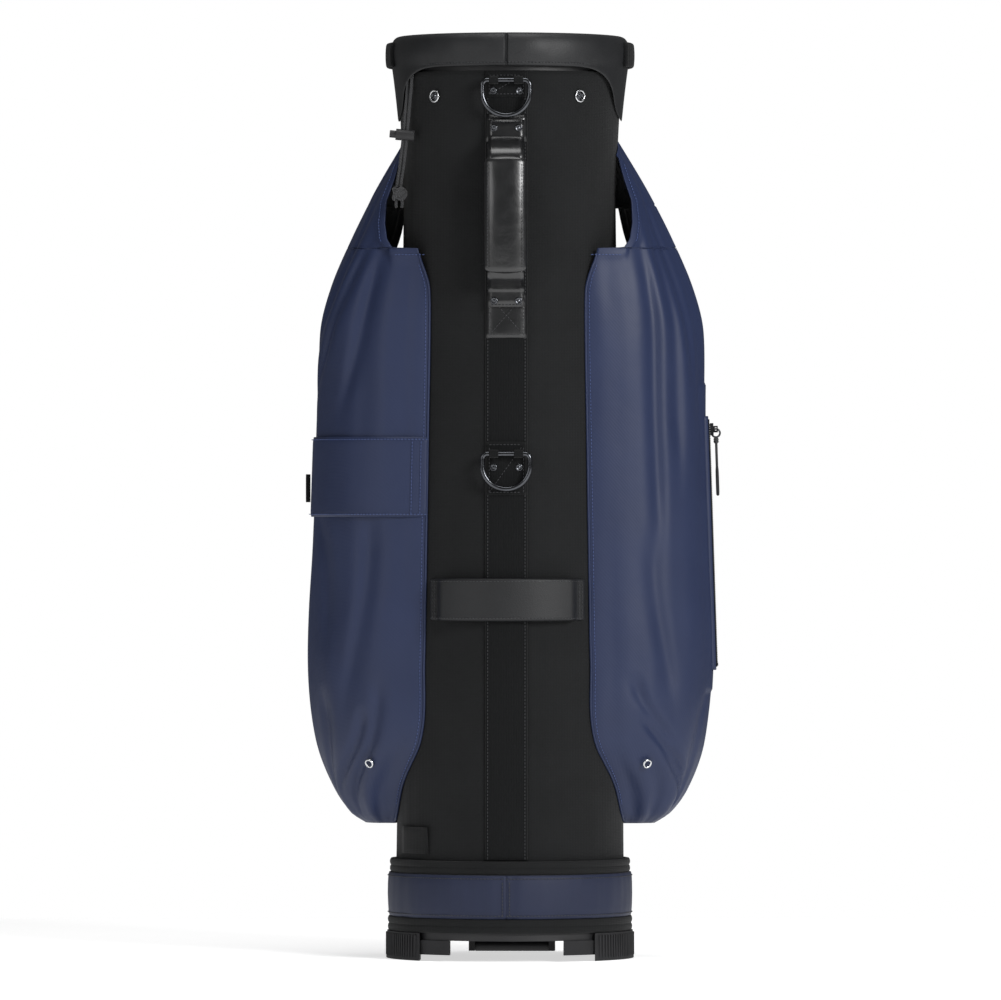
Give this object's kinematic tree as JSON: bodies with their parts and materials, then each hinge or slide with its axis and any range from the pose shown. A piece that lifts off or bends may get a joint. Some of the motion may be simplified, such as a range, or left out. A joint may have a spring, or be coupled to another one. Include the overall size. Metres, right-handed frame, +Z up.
{
  "type": "golf stand bag",
  "caption": "Upright golf stand bag with divided top, padded carry handle, side and belly pockets, folding legs and a moulded base.",
  "frame": {"origin": "centre of the base at floor level", "axes": "+Z up the bag, -Y out of the spine side with the carry handle, +Y out of the belly side with the legs"},
  "size_m": [0.4053, 0.2891, 0.899],
  "materials": {
    "black_canvas": "woven, matt",
    "black_plastic": "moulded, fine texture",
    "grey_lining": "brushed lining",
    "fibreglass": "pultruded rod",
    "black_leather": "padded synthetic leather",
    "black_webbing": "ribbed webbing",
    "dark_steel": "black nickel plated",
    "navy_cloth": "coated navy cloth, satin",
    "black_rubber": "moulded",
    "bright_steel": "polished",
    "black_aluminium": "black anodised",
    "black_cord": "braided cord"
  },
  "bodies": {
    "bag": {"accessory_pocket": "navy_cloth", "ball_pocket": "navy_cloth", "ball_zip_tape": "black_webbing", "band_tag": "black_webbing", "base_band": "navy_cloth", "base_corner_tab": "black_canvas", "base_cup": "black_plastic", "base_foot_left": "black_rubber", "base_foot_right": "black_rubber", "base_trim_lower": "black_webbing", "base_trim_upper": "black_webbing", "cart_strap_band": "black_leather", "collar_ring": "black_plastic", "cord_knot": "black_cord", "cord_strand_inner": "black_cord", "cord_strand_outer": "black_cord", "cuff": "black_leather", "divider_frame": "black_plastic", "divider_sleeves": "grey_lining", "drain_eyelets": "bright_steel", "foot_plate_pin": "dark_steel", "handle_grip": "black_leather", "handle_strap": "black_webbing", "handle_tabs": "black_leather", "hood_snaps": "dark_steel", "left_pocket_band": "navy_cloth", "left_side_pocket": "navy_cloth", "leg_hinge_housing": "black_plastic", "leg_hinge_pins": "bright_steel", "lower_ring_tab": "black_webbing", "pouch_zip_tape": "black_webbing", "right_side_pocket": "navy_cloth", "ring_keepers": "black_webbing", "rod_guides": "black_plastic", "side_lift_handles": "black_webbing", "side_zip_tape": "black_webbing", "spine_webbing": "black_webbing", "stay_rods": "fibreglass", "tab_rivets": "dark_steel", "tube_shell": "black_canvas", "upper_ring_tab": "black_webbing"},
    "leg_left": {"leg_left_tube": "black_aluminium", "leg_left_head": "black_plastic", "leg_left_foot": "black_rubber"},
    "leg_right": {"leg_right_tube": "black_aluminium", "leg_right_head": "black_plastic", "leg_right_foot": "black_rubber"},
    "actuator": {"actuator_rod": "bright_steel"},
    "foot_plate": {"foot_plate": "black_plastic"},
    "upper_ring": {"upper_d_ring": "dark_steel"},
    "lower_ring": {"lower_d_ring": "dark_steel"},
    "side_slider": {"side_zip_slider": "dark_steel"},
    "side_pull": {"side_zip_pull": "black_cord"},
    "ball_slider": {"ball_zip_slider": "dark_steel"},
    "ball_pull": {"ball_zip_pull": "black_cord"},
    "pouch_slider": {"pouch_zip_slider": "dark_steel"},
    "pouch_pull": {"pouch_zip_pull": "black_cord"},
    "cord_lock": {"cord_lock": "black_plastic"},
    "cord_lock_button": {"cord_lock_button": "bright_steel"}
  },
  "joints": [
    {"name": "leg_left_swing", "type": "hinge", "parent": "bag", "child": "leg_left", "pos_m": [-0.033, 0.12, 0.77], "axis": [0.866, 0.5, 0], "range_deg": [0, 32], "stiffness_Nm_per_rad": 1, "springref_deg": -14.32},
    {"name": "leg_right_swing", "type": "hinge", "parent": "bag", "child": "leg_right", "pos_m": [0.033, 0.12, 0.77], "axis": [0.866, -0.5, 0], "range_deg": [0, 32]},
    {"name": "actuator_slide", "type": "slide", "parent": "bag", "child": "actuator", "axis": [0, 0, 1], "range_m": [0, 0.0226]},
    {"name": "foot_plate_tilt", "type": "hinge", "parent": "bag", "child": "foot_plate", "pos_m": [0, 0.062, 0.008], "axis": [1, 0, 0], "range_deg": [0, 20.6]},
    {"name": "upper_ring_swing", "type": "hinge", "parent": "bag", "child": "upper_ring", "pos_m": [0, -0.11863, 0.852], "axis": [1, 0, 0], "range_deg": [-120, 0]},
    {"name": "lower_ring_swing", "type": "hinge", "parent": "bag", "child": "lower_ring", "pos_m": [0, -0.11674, 0.491], "axis": [1, 0, 0], "range_deg": [-150, 0]},
    {"name": "side_zip_slide", "type": "slide", "parent": "bag", "child": "side_slider", "axis": [0.0326, 0, -0.9995], "range_m": [0, 0.218]},
    {"name": "side_pull_swing", "type": "hinge", "parent": "side_slider", "child": "side_pull", "pos_m": [0.20091, 0.01, 0.51595], "axis": [0, -1, 0], "range_deg": [0, 100]},
    {"name": "ball_zip_slide", "type": "slide", "parent": "bag", "child": "ball_slider", "axis": [0, 0, -1], "range_m": [0, 0.21]},
    {"name": "ball_pull_swing", "type": "hinge", "parent": "ball_slider", "child": "ball_pull", "pos_m": [0, 0.1455, 0.3652], "axis": [1, 0, 0], "range_deg": [0, 100]},
    {"name": "pouch_zip_slide", "type": "slide", "parent": "bag", "child": "pouch_slider", "axis": [0, 0, -1], "range_m": [0, 0.15]},
    {"name": "pouch_pull_swing", "type": "hinge", "parent": "pouch_slider", "child": "pouch_pull", "pos_m": [0, 0.1355, 0.6302], "axis": [1, 0, 0], "range_deg": [0, 100]},
    {"name": "cord_lock_slide", "type": "slide", "parent": "bag", "child": "cord_lock", "axis": [0.0896, 0.006, 0.996], "range_m": [-0.008, 0.003]},
    {"name": "cord_lock_press", "type": "slide", "parent": "cord_lock", "child": "cord_lock_button", "axis": [0.996, 0, -0.0896], "range_m": [0, 0.0025], "stiffness_N_per_m": 400, "springref_m": -0.0005}
  ],
  "couplings": [
    {"joint": "leg_right_swing", "follows": "leg_left_swing", "ratio": 1},
    {"joint": "actuator_slide", "follows": "leg_left_swing", "m_per_rad": 0.040286},
    {"joint": "foot_plate_tilt", "follows": "leg_left_swing", "ratio": 0.64}
  ]
}
